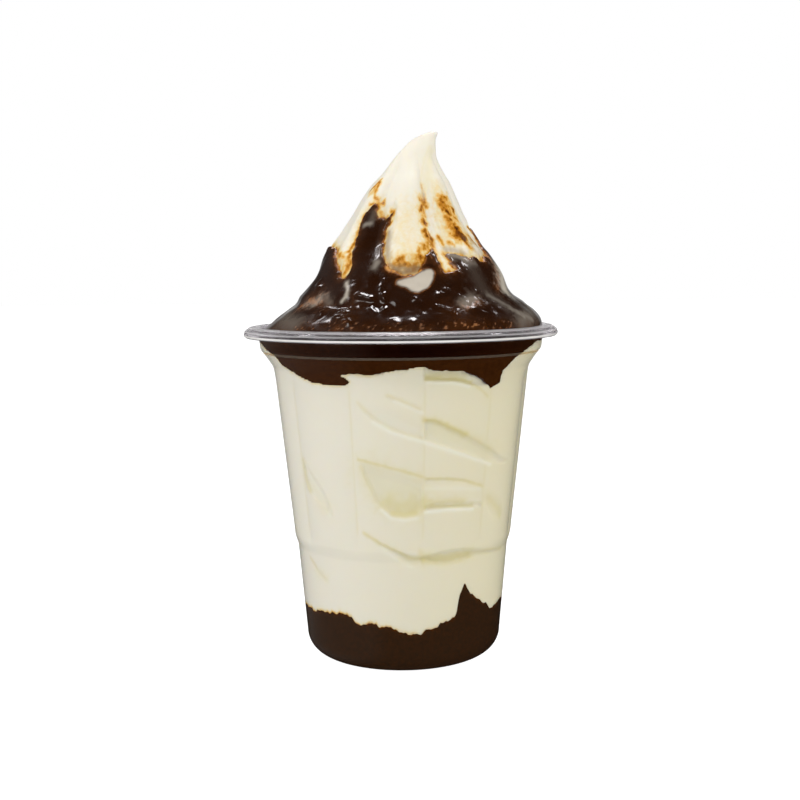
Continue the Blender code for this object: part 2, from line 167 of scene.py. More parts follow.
# The sauce's outline: its lower edge against the wall and its upper edge on the mound, as
# (heading, height). Both run all the way round.
SAUCE_LOW_EDGE = [
    (-180, 90), (-165, 87.5), (-150, 87), (-138, 91), (-125, 93), (-112, 96), (-100, 98), (-75, 98.8),
    (-69, 97.5), (-61, 95.7), (-60, 92.7), (-50, 89.8), (-40, 88.1), (-31, 87.5), (-24, 87.7),
    (-22, 88.9), (-24, 90.3), (-27, 90.8), (-19, 91.2), (-12, 91), (-7, 91.6), (0, 92.5), (9, 93.3),
    (14, 92), (26, 91.7), (35, 89.6), (40, 87.3), (42, 85.8), (48, 87.5), (48.5, 90.8), (51, 92.8),
    (53, 95.1), (57, 96.7), (69, 99.2), (86, 98.4), (100, 97), (113, 91), (125, 88), (140, 91.5),
    (155, 92), (168, 89.5), (180, 90),
]
SAUCE_HIGH_EDGE = [
    (-180, 128), (-168, 133), (-158, 140), (-150, 134), (-140, 127), (-125, 124), (-112, 127),
    (-104, 133), (-98, 129), (-90, 127.5), (-81, 128.5), (-64, 126.8), (-54, 123.2), (-49, 120.8),
    (-43, 118.8), (-40, 118.7), (-39, 120.8), (-39, 123), (-41, 125.4), (-42, 127.5), (-44, 129.6),
    (-46, 132.3), (-50, 135.2), (-50, 137.6), (-47, 139.5), (-44, 141), (-40, 140.6), (-37, 138.6),
    (-33, 136.7), (-25, 136.2), (-17, 137.9), (-17, 135), (-20, 133.4), (-21, 131.3), (-20, 129),
    (-18, 126.9), (-16, 124.8), (-14, 122.7), (-12, 121.2), (-7, 120.3), (-3, 119.4), (2, 119.7),
    (5, 120.6), (8, 122.3), (11, 124.1), (12, 125.3), (16, 126.3), (20, 127.2), (21, 126.2), (21, 122.6),
    (20, 120.5), (21, 119.7), (25, 120.2), (29, 120.6), (28, 122.3), (28, 125.4), (30, 125.9),
    (35, 125.8), (41, 124.8), (44, 124.2), (49, 125), (52, 124.6), (54, 123.5), (57, 123.3), (62, 124.2),
    (78, 125.6), (84, 129), (90, 133), (98, 134), (108, 128), (118, 125), (128, 131), (135, 137),
    (143, 130), (155, 124), (168, 125.5), (180, 128),
]
# On the mound its bead-like edge is so wide and rises so far over the ice cream. Past its edge
# it dips so far under, on the mound and at the wall.
SAUCE_BEAD = 1.1
SAUCE_RISE = 0.75
SAUCE_DIP = 1.3
SAUCE_WALL_DIP = 3.0
SAUCE_FLOOR = 85.0
SAUCE_CEILING = 142.6
SAUCE_BACK = 3.6

# Hollows of the ice cream at the wall, where it curls clear of the plastic. Each has a depth, how
# softly it opens at its top and foot, and the upper and lower line that it lies between, which
# are the heading and height of each of their points.
HOLLOWS = [
    # the shelf under the sauce
    (1, 0.5, 0.5, (9, 95, 42, 92), (9, 89.4, 16, 89.1, 24, 88.8, 29, 87.8, 35, 87.2, 42, 87)),
    (0.3, 1.6, 0.3, (-6, 86.4, 0, 84.9, 9, 82.2), (-6, 84.9, -4, 84.1, 2, 82.6, 5, 81.4, 9, 80.4)),
    # the long band that runs down to the right
    (0.7, 6.5, 0.6, (-21, 84.5, -5, 83.2, 3, 80.6, 9.6, 78.6),
     (-21, 82.6, -14, 79.1, -9, 76.5, -3, 74.5, 3, 73.3, 9.6, 72)),
    (1.1, 2, 0.9, (10.2, 78.5, 15, 78.1, 19, 76.7, 27, 74.3, 35, 71.5, 45, 68.5, 54, 65.1, 60, 63.5),
     (10.2, 72, 17, 70.3, 25, 68.5, 33, 66.6, 39, 65, 50, 63, 60, 62.4)),
    # the broad pocket at the middle
    (0.9, 5, 1.6, (-21, 66.5, -15, 66.4, -10, 65, -3, 63.9, 1, 63.2, 6, 61.7, 9.8, 61),
     (-21, 66.4, -19, 64.5, -17, 60.1, -14, 56.6, -12, 53.3, -8, 51.3, -5, 49.5, 1, 48.9, 6,
      49.4, 9.8, 51.5)),
    (0.5, 0.6, 2.4, (10.6, 60.6, 18, 60.6, 28, 59.9, 34, 58.4, 42, 56.5),
     (10.6, 57.8, 28, 57.4, 42, 55.8)),
    (0.9, 2.2, 0.5, (11, 53.2, 18, 53.9, 26, 53.6, 42, 52.4),
     (11, 50.6, 18, 51.4, 26, 51.1, 35, 50.8, 42, 50.3)),
    # the crease that runs right across below it
    (0.9, 0.5, 2.4, (-20, 44.4, -15, 43, -11, 41.5, -5, 39.5, -1, 38.6, 4, 37.5, 10, 37.1),
     (-20, 44, -11, 39.9, -5, 37.2, -2, 35.5, 4, 33.6, 10, 34.6)),
    (1.2, 0.9, 1.4, (9, 37.2, 13, 37.4, 19, 38.3, 27, 38.7, 37, 38, 54, 36.2, 68, 35.4, 78, 35.6),
     (9, 36.2, 15, 34.3, 23, 33.2, 27, 33.4, 35, 34.6, 42, 35.2, 55, 34.4, 78, 34.2)),
    # small ones at the sides
    (0.6, 2.8, 1, (-55.6, 66.4, -54, 65.3, -50, 62.9, -44, 59.4, -40, 56, -37, 51.7, -35.5, 48),
     (-55.6, 65, -54, 61.1, -53, 57.4, -50, 54.3, -44, 51.6, -40, 49.5, -35.5, 47.4)),
    (0.4, 1.6, 2, (-60, 34.2, -54, 32, -48, 29.2, -39, 26), (-60, 32.6, -53, 28.4, -46, 26.2, -39, 25)),
    (0.4, 3, 2.4, (44, 54.5, 49, 54, 58, 51), (44, 52, 47, 48, 51, 45, 58, 44)),
]
# Painted shade where those hollows look deepest and yellowest. A stroke is its width in mm,
# its strength, and the heading and height of each point on its path.
HOLLOW_SHADE_STROKES = [
    (0.8, 0.5, 10.5, 91.2, 20, 91, 28, 90.4), (0.6, 1, 10.5, 89.8, 18, 89.5, 26, 89.1, 31, 88),
    (0.35, 0.5, 31, 88, 36, 86, 41, 83.6), (0.4, 0.3, -6, 85.2, 0, 83.6, 8, 81),
    (0.5, 0.25, -19, 82.8, -9, 76.8, 3, 73.6, 9.8, 72.3),
    (0.7, 0.75, 10.3, 77.8, 15, 77.4, 22, 75.2, 29, 73), (2.5, 0.2, 14, 75, 30, 71, 45, 66.5),
    (0.5, 0.25, 29, 73, 45, 67.8), (0.35, 0.6, -20, 66.2, -10, 64.8, 0, 63.1, 9.5, 61),
    (4.8, 0.26, -14, 62, -8, 58, 5, 56), (0.6, 0.22, -19, 64, -16, 59, -12, 54, -7, 51.5),
    (2.2, 0.55, -7, 53.4, -1, 52, 7, 52.2), (0.7, 0.6, -5, 50.4, 1, 50, 6, 50.4),
    (0.4, 0.6, 11, 60.5, 22, 60.1, 30, 59.3, 42, 56.6), (0.9, 0.4, 11, 53.4, 20, 53.6, 30, 53),
    (0.5, 0.7, 11, 52.1, 23, 51.9, 36, 51.2), (0.5, 0.6, -19, 44, -11, 41.2, -1, 38.3, 4, 36.6, 10, 36.2),
    (1.2, 0.25, 0, 36.5, 6, 35.5), (1.4, 0.75, 10.5, 36.4, 18, 35.8, 27, 35.9, 36, 36.4),
    (0.6, 0.45, 36, 36.7, 50, 35.9, 66, 35), (0.9, 0.42, -54.6, 64, -53.4, 59, -50.6, 55.6),
    (2.4, 0.2, -50, 58, -45, 54.5, -40, 51), (0.5, 0.35, -59, 33.2, -54, 31.2),
    (1.3, 0.22, -53, 30, -46, 28), (1.2, 0.35, 46, 53, 52, 50, 57, 47),
]
# Painted highlights: bright lips along the lower side of those hollows
LIP_HIGHLIGHTS = [
    (0.5, 0.7, -12, 77.4, -5, 74.6, 3, 72.8, 9.8, 71.4), (0.5, 0.65, 11, 71, 20, 69, 33, 65.8, 46, 63),
    (0.45, 0.7, -10, 51.4, -5, 48.8, 1, 48.2, 7, 48.8), (0.45, 0.8, 11, 50.4, 22, 50.8, 36, 50.2),
    (0.5, 0.3, 11, 57.6, 28, 57, 40, 56), (0.4, 0.7, 11, 88.7, 22, 88.4, 30, 87),
    (0.4, 0.5, -3, 83.4, 3, 81.8, 9, 80), (0.6, 0.3, -10, 39.6, 0, 35.2, 6, 33.4),
]
# Hollows of the sides and back, in two rows: how many, the first one's heading and height, and
# how far apart they and the rows are
BACK_HOLLOWS = 8
BACK_START = (98.0, 79.0)
BACK_SPREAD = 40.0
BACK_ROW = 22.0

# Strokes of thin sauce smeared on the white peak
SMEARS = [
    # the streak in the main groove
    (0.55, 0.36, 16, 145.9, 18, 144.8, 20, 143), (0.5, 0.38, 20, 143, 21, 140.9, 22, 139.1),
    (0.5, 0.4, 12, 141, 14, 141), (0.45, 0.4, 13, 139.6, 12, 138),
    (0.9, 0.22, 17, 141, 17, 137.5, 16, 134.7), (0.6, 0.44, 13, 134.9, 17, 133.6),
    (0.5, 0.36, 11.5, 131.7, 12.5, 131.3), (0.6, 0.44, 15, 132, 16, 130.3),
    (0.5, 0.4, 19, 130.6, 22, 129.8), (0.7, 0.28, 22, 129.8, 23, 127.8),
    (0.6, 0.3, 12, 127.8, 10, 126.8, 7, 125.4), (1.2, 0.34, 14, 127, 18, 129, 21, 128.4),
    (1.2, 0.22, 14, 142, 15, 137, 16, 132, 18, 128),
    # the patch to the right of it
    (1.5, 0.18, 41, 142, 46, 140), (0.5, 0.32, 40, 142.7, 45, 142.5, 50, 142.4),
    (0.7, 0.38, 39, 141.6, 38, 139.2), (1.4, 0.22, 42, 140.8, 45, 138.6), (0.6, 0.5, 43, 138, 45, 137.2),
    (0.5, 0.55, 55.5, 138.9, 55, 138.2), (0.5, 0.44, 44, 135.6, 45, 135.2),
    (0.9, 0.2, 41, 136.4, 42, 134.6), (0.6, 0.26, 52, 136.4, 54, 135.4),
    (0.7, 0.38, 41, 133.2, 46, 132.9), (0.9, 0.44, 46, 133.2, 49, 132.2),
    (0.9, 0.44, 45, 131.6, 51, 131.2), (1, 0.5, 44, 130.4, 53, 130), (0.9, 0.4, 50, 128.6, 52, 127),
    (0.5, 0.34, 36, 128.6, 38, 128.2), (0.5, 0.46, 29, 130.4, 30, 129.2, 30.5, 127.9),
    (2.8, 0.24, 46, 138, 48, 134, 48, 130.5), (1.8, 0.08, 39, 146, 37, 142, 36, 134, 33, 129),
    (0.45, 0.72, 78, 133.4, 80, 132, 83, 130.4), (1.3, 0.3, 62, 130.6, 66, 128.6),
    # the streaks at the left and round the tongue's top
    (0.36, 0.48, -56, 148.2, -60, 146.4, -67, 144.2), (0.42, 0.46, -53, 147.4, -50, 144.8, -48, 142.6),
    (0.9, 0.24, -55, 147, -57, 144), (0.5, 0.38, -45, 142.5, -41, 142), (0.5, 0.38, -50, 140.6, -46, 141),
    (0.5, 0.4, -36, 140.9, -33, 140.3), (0.35, 0.36, -35, 141.9, -34.5, 141),
    (0.6, 0.42, -20, 138.2, -17, 138), (0.5, 0.4, -19, 136.8, -18.5, 135.4),
    (0.5, 0.48, -51, 137.6, -49, 135.3, -48, 132.9, -46, 130.7, -45, 128.6, -45, 126.5),
    # the bare nub left of the tongue
    (0.6, 0.42, -68, 127.6, -60, 126.8), (0.6, 0.46, -58, 126.2, -52, 125.2, -47, 124.7),
    (0.5, 0.44, -64, 126.4, -57, 123.8, -50, 121.4), (0.8, 0.48, -43, 119.6, -41, 123, -43, 126),
    (1.8, 0.14, -60, 127, -46, 122),
    # the lower edge of the middle lobe
    (0.7, 0.45, -6, 123.4, -3, 123.9), (0.6, 0.32, -9, 122.4, -4, 122.2, 0, 122.4),
    (4.5, 0.06, -2, 136, 0, 124), (2.4, 0.12, -9, 122.8, -2, 122.2, 5, 123.4),
    (0.9, 0.4, 2, 121.2, 6, 122.6, 9, 124.4),
    # sides and back
    (1.4, 0.45, 96, 138, 100, 142, 104, 139), (0.9, 0.4, 112, 131, 118, 134, 122, 131),
    (1.5, 0.45, 150, 141, 158, 144, 166, 139), (1.4, 0.42, -140, 131, -132, 134, -124, 129),
    (1, 0.4, 172, 134, -178, 138, -172, 134),
]

# Strokes on the peak where sauce is stirred into the ice cream
VEILS = [
    (1.2, 0.55, -16, 131.5, -15, 128, -13, 124.8),
    (0.6, 0.7, -12, 122.4, -8, 121.4, -5, 121.6, -1, 121, 3, 121.6),
    (0.7, 0.85, -10, 121, -4, 120.1, 3, 120.6, 6, 121.6), (0.8, 0.5, -40, 135.6, -42, 133),
    (0.8, 0.45, 31, 126.8, 37, 126.6, 43, 125.8), (1.2, 0.4, 60, 129.4, 66, 126.6),
    (1, 0.3, 52, 130, 58, 125),
]

# Painted shade, darker and yellower, beside the groove that runs up to the tip
GROOVE_SHADE = [
    (1.5, 0.75, 21, 143.5, 26, 147.6, 34, 152.3, 46, 156.5),
    (0.4, 0.6, 16, 146.5, 18, 150.8, 26, 154.4, 35, 158),
]

# Strokes in the sauce where melted ice cream is mixed into it, and painted sheen and
# reflections on it, as the broad strokes on its flanks and the pale strip at its right
MILK_AND_SHEEN_STROKES = [
    (0.5, 0.7, -36, 117, -32, 114.9, -31, 113, -34, 111.5),
    (1.3, 0.22, -60, 110.4, -54, 111.2, -50, 112.7), (0.7, 0.25, -52, 110.2, -48, 112.5),
    (1.5, 0.14, -45, 112.7, -42, 111.5), (1.4, 0.3, 27, 110.8, 30, 111.5, 34, 112.2),
    (2.5, 1, 77, 120, 73, 117.4, 67, 114.4), (2.8, 0.16, -80, 109, -66, 106.5, -52, 105),
    (2.8, 0.2, 80, 109, 66, 107, 54, 105), (0.8, 0.18, 46, 113, 54, 109, 64, 105.5),
    (0.6, 0.22, 52, 109, 58, 106.4), (0.7, 0.35, -42, 134.2, -38, 134.4),
    (0.9, 0.1, -38, 138.5, -38, 135.4), (0.9, 0.35, -20, 122.8, -21, 121.4),
    (1.3, 0.07, -22, 128, -20, 124.5), (0.9, 0.36, 31, 125, 36, 124.6, 42, 123.7),
    (0.9, 0.16, 38, 122.6, 46, 122.4), (2.6, 0.05, 40, 121, 44, 114, 56, 107),
    (0.8, 0.35, 22, 123.4, 27, 122), (1.6, 0.5, 120, 112, 128, 113.6, 136, 112.4),
    (1.6, 0.5, -150, 114, -142, 116, -134, 114.6),
]
# The pool of melted ice cream at the middle: an outline, and how far it reaches beyond that
MILK_POOL = [
    (-5, 116.9), (-2, 117.2), (2, 117.6), (6, 118.9), (10, 119.9), (12, 119.9), (12.2, 119.2),
    (11, 117.6), (9.5, 116.2), (7.5, 115.4), (5, 114.7), (2.5, 115), (-1, 116.1), (-5, 116.9),
]
MILK_RIM = 0.9
# Strokes where the sauce is thinner, amber to red-brown
THIN = [
    (1.8, 0.27, 72, 124.2, 71, 121.5, 66, 118.4, 58, 115), (2.4, 0.28, -62, 110, -56, 111.6, -51, 112),
    (2, 0.12, -46, 111, -42, 110), (1.4, 0.25, 27, 109.8, 31, 110.4, 35, 111.4),
    (0.8, 0.3, -13, 121, -8, 119.6, -3, 118.9), (1, 0.16, 16, 124, 18, 121),
    (3, 0.06, -28, 112, -26, 104), (3, 0.08, 20, 109, 24, 104),
]

# Drops and small ridges of the coat, as strokes whose strength is how far they stand out
DROPS = [
    (1.2, 0.55, -62, 117, -58, 115.6), (1.1, 0.5, -42, 108.6, -41, 107.6),
    (0.9, 0.45, -33, 108.8, -29, 108.6), (0.9, 0.4, -31, 107, -29, 106.8),
    (1, 0.6, -24, 113.2, -18, 112.4), (1, 0.55, -13, 117.4, -14, 115.8), (0.9, 0.5, -12, 113.6, -11, 112),
    (0.9, 0.45, -18, 109.8, -15, 108.4), (1, 0.45, -11, 109.8, -11, 109.4),
    (1, 0.45, -6, 111.3, -6, 110.9), (1, 0.4, -6, 106.4, -4, 105.4), (1.1, 0.4, 2, 106, 4, 105),
    (1.1, 0.5, 4, 111.8, 4.6, 111.4), (1.1, 0.6, 20, 114.6, 20.4, 114.2), (0.9, 0.45, 14, 113, 18, 113.6),
    (1, 0.5, 22, 117.4, 23, 116.6), (0.9, 0.5, 28, 120, 30, 119.4), (1, 0.5, 35, 120.3, 36, 119.9),
    (1, 0.5, 12, 110.3, 12.6, 109.9), (1, 0.5, 14, 109.8, 19, 108.7), (1.1, 0.55, 30, 109, 34, 107.4),
    (1, 0.4, -26, 106.4, -24, 105.8), (1.1, 0.4, 38, 114, 41, 113),
]

# Colours of ice cream under ever more sauce, and of the thick sauce in its three places
FILM_RAMP = [
    (0.0, (0.875, 0.835, 0.725)), (0.10, (0.85, 0.72, 0.445)), (0.22, (0.82, 0.55, 0.19)),
    (0.36, (0.74, 0.38, 0.070)), (0.50, (0.55, 0.225, 0.018)), (0.64, (0.25, 0.075, 0.005)),
    (0.80, (0.066, 0.020, 0.0035)),
]
DEEP_COAT = (0.021, 0.0062, 0.0018)
DEEP_BAND = (0.010, 0.0016, 0.0004)
DEEP_SYRUP = (0.028, 0.0140, 0.0068)
# Painted shade of the ice cream in its hollows and down the creases of the cup's panels
HOLLOW_SHADE = (0.73, 0.635, 0.26)
# Painted highlight on the hollows' lower lips
LIP_HIGHLIGHT = (0.94, 0.92, 0.81)
# Painted shade: the ice cream darker and yellower towards its right side and by the groove
WARM_SHADE = (0.85, 0.79, 0.575)
# Melted ice cream in the sauce, and the painted sheen and reflections on it
MILK_AND_SHEEN = (0.62, 0.56, 0.47)
VEIL = (0.27, 0.165, 0.088)

PLASTIC_IOR = 1.5
# Between these distances from the cup's middle to the left or right, its rim grows paler: painted
# light, for the brightness that shows through the rim's two ends
RIM_SIDE_LIGHT_FROM = 33
RIM_SIDE_LIGHT_TO = 46


# ---- curves and noise

def through(knots, x):
    """A monotone cubic curve through (x, y) knots, which adds no bumps of its own."""
    xs, ys = np.array(knots, dtype=float).T
    x = np.clip(np.asarray(x, dtype=float), xs[0], xs[-1])
    step = np.diff(xs)
    rise = np.diff(ys) / step
    product = rise[1:] * rise[:-1]
    total = np.where(product > 0, rise[1:] + rise[:-1], 1.0)
    inner = np.where(product > 0, 2.0 * product / total, 0.0)
    slope = np.concatenate(([rise[0]], inner, [rise[-1]]))
    i = np.clip(np.searchsorted(xs, x) - 1, 0, len(step) - 1)
    t = (x - xs[i]) / step[i]
    start = ys[i] * (1 + 2 * t) + slope[i] * step[i] * t
    end = ys[i + 1] * (3 - 2 * t) + slope[i + 1] * step[i] * (t - 1)
    return start * (1 - t) ** 2 + end * t**2


def eased(low, high, x):
    """0 below low, 1 above high, smooth between."""
    t = np.clip((x - low) / (high - low), 0.0, 1.0)
    return t * t * (3 - 2 * t)


def turned(heading):
    """A heading brought into -180 to 180."""
    return (np.asarray(heading) + 180.0) % 360.0 - 180.0


def noise(places, size, seed):
    """Smooth random values from -1 to 1 over places, whose swells are about that size. Each
    corner of a cell has a value, hashed from its place and the seed."""
    cells = np.asarray(places, dtype=float) / size
    corner = np.floor(cells).astype(np.int64)
    part = cells - corner
    part = part**3 * (part * (6 * part - 15) + 10)
    total = np.zeros(cells.shape[:-1])
    for step in np.ndindex(2, 2, 2):
        x, y, z = np.moveaxis(corner + step, -1, 0)
        n = (x * 73856093 ^ y * 19349663 ^ z * 83492791 ^ seed * 2654435761) & 0xFFFFFFFF
        n = (n ^ (n >> 15)) * 2246822519 & 0xFFFFFFFF
        n = (n ^ (n >> 13)) * 3266489917 & 0xFFFFFFFF
        value = (n ^ (n >> 16)) / 0xFFFFFFFF * 2 - 1
        total += value * np.prod(np.where(step, part, 1 - part), -1)
    return total


# ---- the forms

def crease(heading, z):
    """How far the wall lies inside its round form."""
    phase = ((heading - CREASE_HEADING) * PANELS / 360.0) % 1.0
    low = eased(LEDGE_TOP[1] - CREASE_FADE / 2, LEDGE_TOP[1] + CREASE_FADE / 2, z)
    high = 1 - eased(SHOULDER[1] - CREASE_FADE, SHOULDER[1], z)
    return CREASE_DEPTH * (1 - 4 * phase * (1 - phase)) * low * high


def crease_shade(heading, z):
    """Painted shade: a faint darker line down each crease between the cup's panels."""
    off = turned((heading - CREASE_HEADING) * PANELS) / PANELS * mm_a_degree(z) / CREASE_SHADE_WIDTH
    return CREASE_SHADE * np.exp(-(off**2)) * eased(41, 45, z) * (1 - eased(84, 90, z))


def wall_radius(z):
    """Outside radius of the round cup above its base fillet."""
    foot = (BASE_WALL_RADIUS, BASE_FILLET)
    bends = (foot, LEDGE_BOTTOM, LEDGE_TOP, SHOULDER, FLARE, KNEE, COLLAR, RIM_ROOT)
    radii, levels = zip(*bends)
    return np.interp(z, levels, radii)


def contact_radius(heading, z):
    """Radius of what fills the cup, a little way into the plastic."""
    return wall_radius(z) - crease(heading, z) - WALL + REACH


def point(radius, heading, z, shift=0.0, depth=1.0):
    """Places on a ring, in mm. It may lean to +X and be less deep than it is wide."""
    a = np.radians(heading)
    ring = (radius * np.sin(a) + shift, -radius * np.cos(a) * depth, z)
    return np.stack(np.broadcast_arrays(*ring), -1)


def groove(heading, z):
    """How far the peak lies inside its round form, as a share of its radius."""
    phase = ((heading - through(GROOVE_TWIST, z)) * LOBES / 360.0 + 0.5) % 1.0 - 0.5
    steep = np.exp(-np.abs(phase / GROOVE_STEEP) ** 1.5)
    easy = np.exp(-np.abs(phase / GROOVE_EASY) ** 1.5) * (1 - eased(0.3, 0.5, phase))
    full = eased(GROOVE_START, GROOVE_FULL, z) * (1 - GROOVE_LOSS * eased(*GROOVE_FADE, z))
    full = full * (1 - GROOVE_SIDES * np.exp(-(((np.abs(turned(heading)) - 90) / 28) ** 2)))
    return GROOVE_SHARE * np.where(phase < 0, steep, easy) * full


def lumps(heading, z):
    """How far the coil stands out from the mound's round form."""
    out = 0.0
    for where, height, width, tall, bulge in LUMPS:
        off = turned(heading - where) / width
        out = out + bulge * np.exp(-(off**2) - ((z - height) / tall) ** 2)
    return out


def hull(heading, z):
    """The outside of all the food, as places in mm: the wall's form up to the mouth, then the
    mound's."""
    above = np.maximum(z, MOUTH)
    radius = through(MOUND, above) * (1 - groove(heading, above)) + lumps(heading, above)
    mound = point(radius, heading, z, through(LEAN, above), through(TIP_DEPTH, above))
    wall = point(contact_radius(heading, z), heading, z)
    share = eased(MOUTH - 0.6, MOUTH + 1.4, z)[..., None]
    return wall * (1 - share) + mound * share


def on_wall(z):
    """1 where the food lies against the cup's wall, 0 on the mound."""
    return 1 - eased(MOUTH - 2, MOUTH, z)


def outward(rows):
    """Unit vectors that point out of a stack of rings."""
    round_it = np.roll(rows, -1, 1) - np.roll(rows, 1, 1)
    up = np.gradient(rows, axis=0)
    normal = np.cross(round_it, up)
    return normal / np.maximum(np.linalg.norm(normal, axis=2, keepdims=True), 1e-9)


def mm_a_degree(z):
    """How long a degree of heading is at a height."""
    return np.radians(np.where(z < MOUTH, wall_radius(z), through(MOUND, z)))


def mm_a_height(z):
    """How long the surface is for each mm of height."""
    step = 0.5
    slope = (through(MOUND, z + step) - through(MOUND, z - step)) / (2 * step)
    return np.where(z < MOUTH, 1.0, np.hypot(1.0, np.clip(slope, -2.0, 2.0)))


def pairs(numbers):
    """Rows of (heading, height) from a flat list of them."""
    return np.reshape(numbers, (-1, 2))


def distance(heading, z, path):
    """Distance over the surface, in mm, to a path of (heading, height) points."""
    across, along = mm_a_degree(z), mm_a_height(z)
    best = np.full(np.broadcast(heading, z).shape, np.inf)
    for (h0, z0), (h1, z1) in zip(path, path[1:]):
        ax, az = turned(h0 - heading) * across, (z0 - z) * along
        dx, dz = turned(h1 - h0) * across, (z1 - z0) * along
        t = np.clip(-(ax * dx + az * dz) / (dx * dx + dz * dz + 1e-9), 0, 1)
        best = np.minimum(best, np.hypot(ax + t * dx, az + t * dz))
    return best


def signed_distance(edges, heading, z):
    """Distance in mm to the nearest edge, above 0 between the edges or inside a closed one."""
    crossings = np.zeros(z.shape, dtype=int)
    nearest = np.full(z.shape, np.inf)
    for edge in edges:
        nearest = np.minimum(nearest, distance(heading, z, edge))
        for (h0, z0), (h1, z1) in zip(edge, edge[1:]):
            a = turned(h0 - heading)
            b = a + (h1 - h0)
            t = -a / np.where(b == a, 1.0, b - a)
            crossings += ((a <= 0) != (b <= 0)) & (z0 + (z1 - z0) * t > z)
    return np.where(crossings % 2 == 1, nearest, -nearest)


def sauce_inside(heading, z, places):
    """How far a place lies inside the sauce's outline, in mm, which is less ragged at the wall.
    It is below 0 outside."""
    signed = signed_distance([SAUCE_LOW_EDGE, SAUCE_HIGH_EDGE], heading, z)
    ragged = np.where(z < MOUTH, 0.4, 1.0)
    return signed + ragged * (0.45 * noise(places, 1.6, 3) + 0.25 * noise(places, 0.8, 4))


def hollow_depth(heading, z):
    """How far the ice cream lies clear of the wall."""
    depth = np.zeros(np.broadcast(heading, z).shape)
    for deep, soft_top, soft_foot, *lines in HOLLOWS + back_hollows():
        first, last = lines[0][0], lines[0][-2]
        along = turned(heading - first)
        top, foot = (through(pairs(line) - (first, 0), along) for line in lines)
        end = np.minimum(along, last - first - along)
        share = eased(0, soft_top, top - z) * eased(0, soft_foot, z - foot) * eased(0, 0.7, end)
        depth = np.maximum(depth, deep * share)
    return depth


def back_hollows():
    """Hollows like the front's, round the sides and back that the front view leaves out."""
    made = []
    for i in range(BACK_HOLLOWS):
        start = BACK_START[0] + (i % 4) * BACK_SPREAD
        height = BACK_START[1] - BACK_ROW * (i // 4) - 5.0 * (i % 3)
        share = np.linspace(0, 1, 7)
        across = start + (BACK_SPREAD + 6.0) * share
        z = height - (9.0 + 3.0 * (i % 2)) * share + 1.5 * np.sin(5.0 * share + i)
        half = (2.5 + (i + 1) % 3) * np.sin(np.pi * share) ** 0.7
        lines = (np.stack((across, side), -1).ravel() for side in (z + half, z - half - 0.1))
        made.append((0.32 + 0.04 * (i % 3), 0.8, 2.2, *lines))
    return made


def back_strokes(rise, width, strength):
    """Strokes along the lower lines of the back's hollows, so many mm above them."""
    return [(width, strength, *(pairs(lower) + (0, rise)).ravel()) for *_, lower in back_hollows()]


def ridges(heading, z, places):
    """Fine stretch marks beside the main groove of the peak."""
    off = (heading - through(GROOVE_TWIST, z)) * mm_a_degree(z) + 0.5 * noise(places, 5.0, 44)
    band = eased(0.2, 1.0, off) * (1 - eased(3.0, 6.5, off))
    band = band * eased(121, 126, z) * (1 - eased(142, 150, z))
    return 0.09 * np.sin(off * 2 * math.pi / 1.5) * band


# ---- meshes

def columns(count):
    """Headings once round, closer together at the front than at the back."""
    t = np.arange(count) / count - 0.5
    return 360.0 * t - np.degrees(CROWDING * np.sin(2 * math.pi * t))


def heights(low, stretches):
    """Rows of heights over an array of the lowest ones, by (up to height, steps) stretches."""
    rows = [low]
    for high, steps in stretches:
        rows += [low + (high - low) * (i + 1) / steps for i in range(steps)]
        low = high
    return np.array(np.broadcast_arrays(*rows))


def climbed(low, high, steps, heading):
    """Rows of heights on the mound from above low to high, evenly spaced over its surface."""
    z = np.linspace(low, high, 400)
    way = np.concatenate(([0.0], np.cumsum(mm_a_height(z[1:]) * np.diff(z))))
    levels = np.interp(np.linspace(0, way[-1], steps + 1), way, z)
    return levels[1:, None] * np.ones_like(heading)


def skin(name, rows, foot=None, top=None, ring=False, values=None):
    """A closed mesh over rows of points. foot and top are pole points, and ring joins the last
    row to the first. values are vertex attributes by name, an array as the rows each."""
    count, wide = rows.shape[:2]
    places = rows.reshape(-1, 3)
    i = np.arange(count if ring else count - 1)[:, None]
    j = np.arange(wide)[None, :]
    k = (j + 1) % wide
    up = (i + 1) % count
    corners = (i * wide + j, i * wide + k, up * wide + k, up * wide + j)
    faces = np.stack(np.broadcast_arrays(*corners), -1).reshape(-1, 4).tolist()
    for pole, row, way in ((foot, 0, -1), (top, count - 1, 1)):
        if pole is not None:
            pair = (row * wide + j[0], row * wide + k[0])[::way]
            faces += np.stack((*pair, np.full(wide, len(places))), -1).tolist()
            places = np.vstack((places, pole))
    mesh = bpy.data.meshes.new(name)
    mesh.from_pydata((places * MM).tolist(), [], faces)
    for label, array in (values or {}).items():
        flat = np.zeros(len(places), dtype=np.float32)
        flat[:array.size] = array.ravel()
        mesh.attributes.new(label, "FLOAT", "POINT").data.foreach_set("value", flat)
    mesh.shade_smooth()
    return mesh


def set_slots(mesh, first):
    """Gives the first faces of a mesh their materials by number. The others keep number 0."""
    slots = np.zeros(len(mesh.polygons), dtype=np.int32)
    slots[:len(first)] = first
    mesh.polygons.foreach_set("material_index", slots)


def placed(name, data):
    """A new object in the scene."""
    made = bpy.data.objects.new(name, data)
    bpy.context.scene.collection.objects.link(made)
    return made


def add(name, mesh, node, slot, *surfaces):
    """An object that stands for a CAD node."""
    for surface in surfaces:
        mesh.materials.append(surface)
    made = placed(name, mesh)
    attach(made, "root")
    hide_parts(node)


# ---- materials

def filled(tree, made, inputs):
    """A node with its inputs set, each to a number, a colour or another node's output."""
    for label, value in inputs.items():
        socket = made.inputs[label]
        if isinstance(value, bpy.types.NodeSocket):
            tree.links.new(value, socket)
        else:
            socket.default_value = (*value, 1.0) if socket.type == "RGBA" else value
    return made


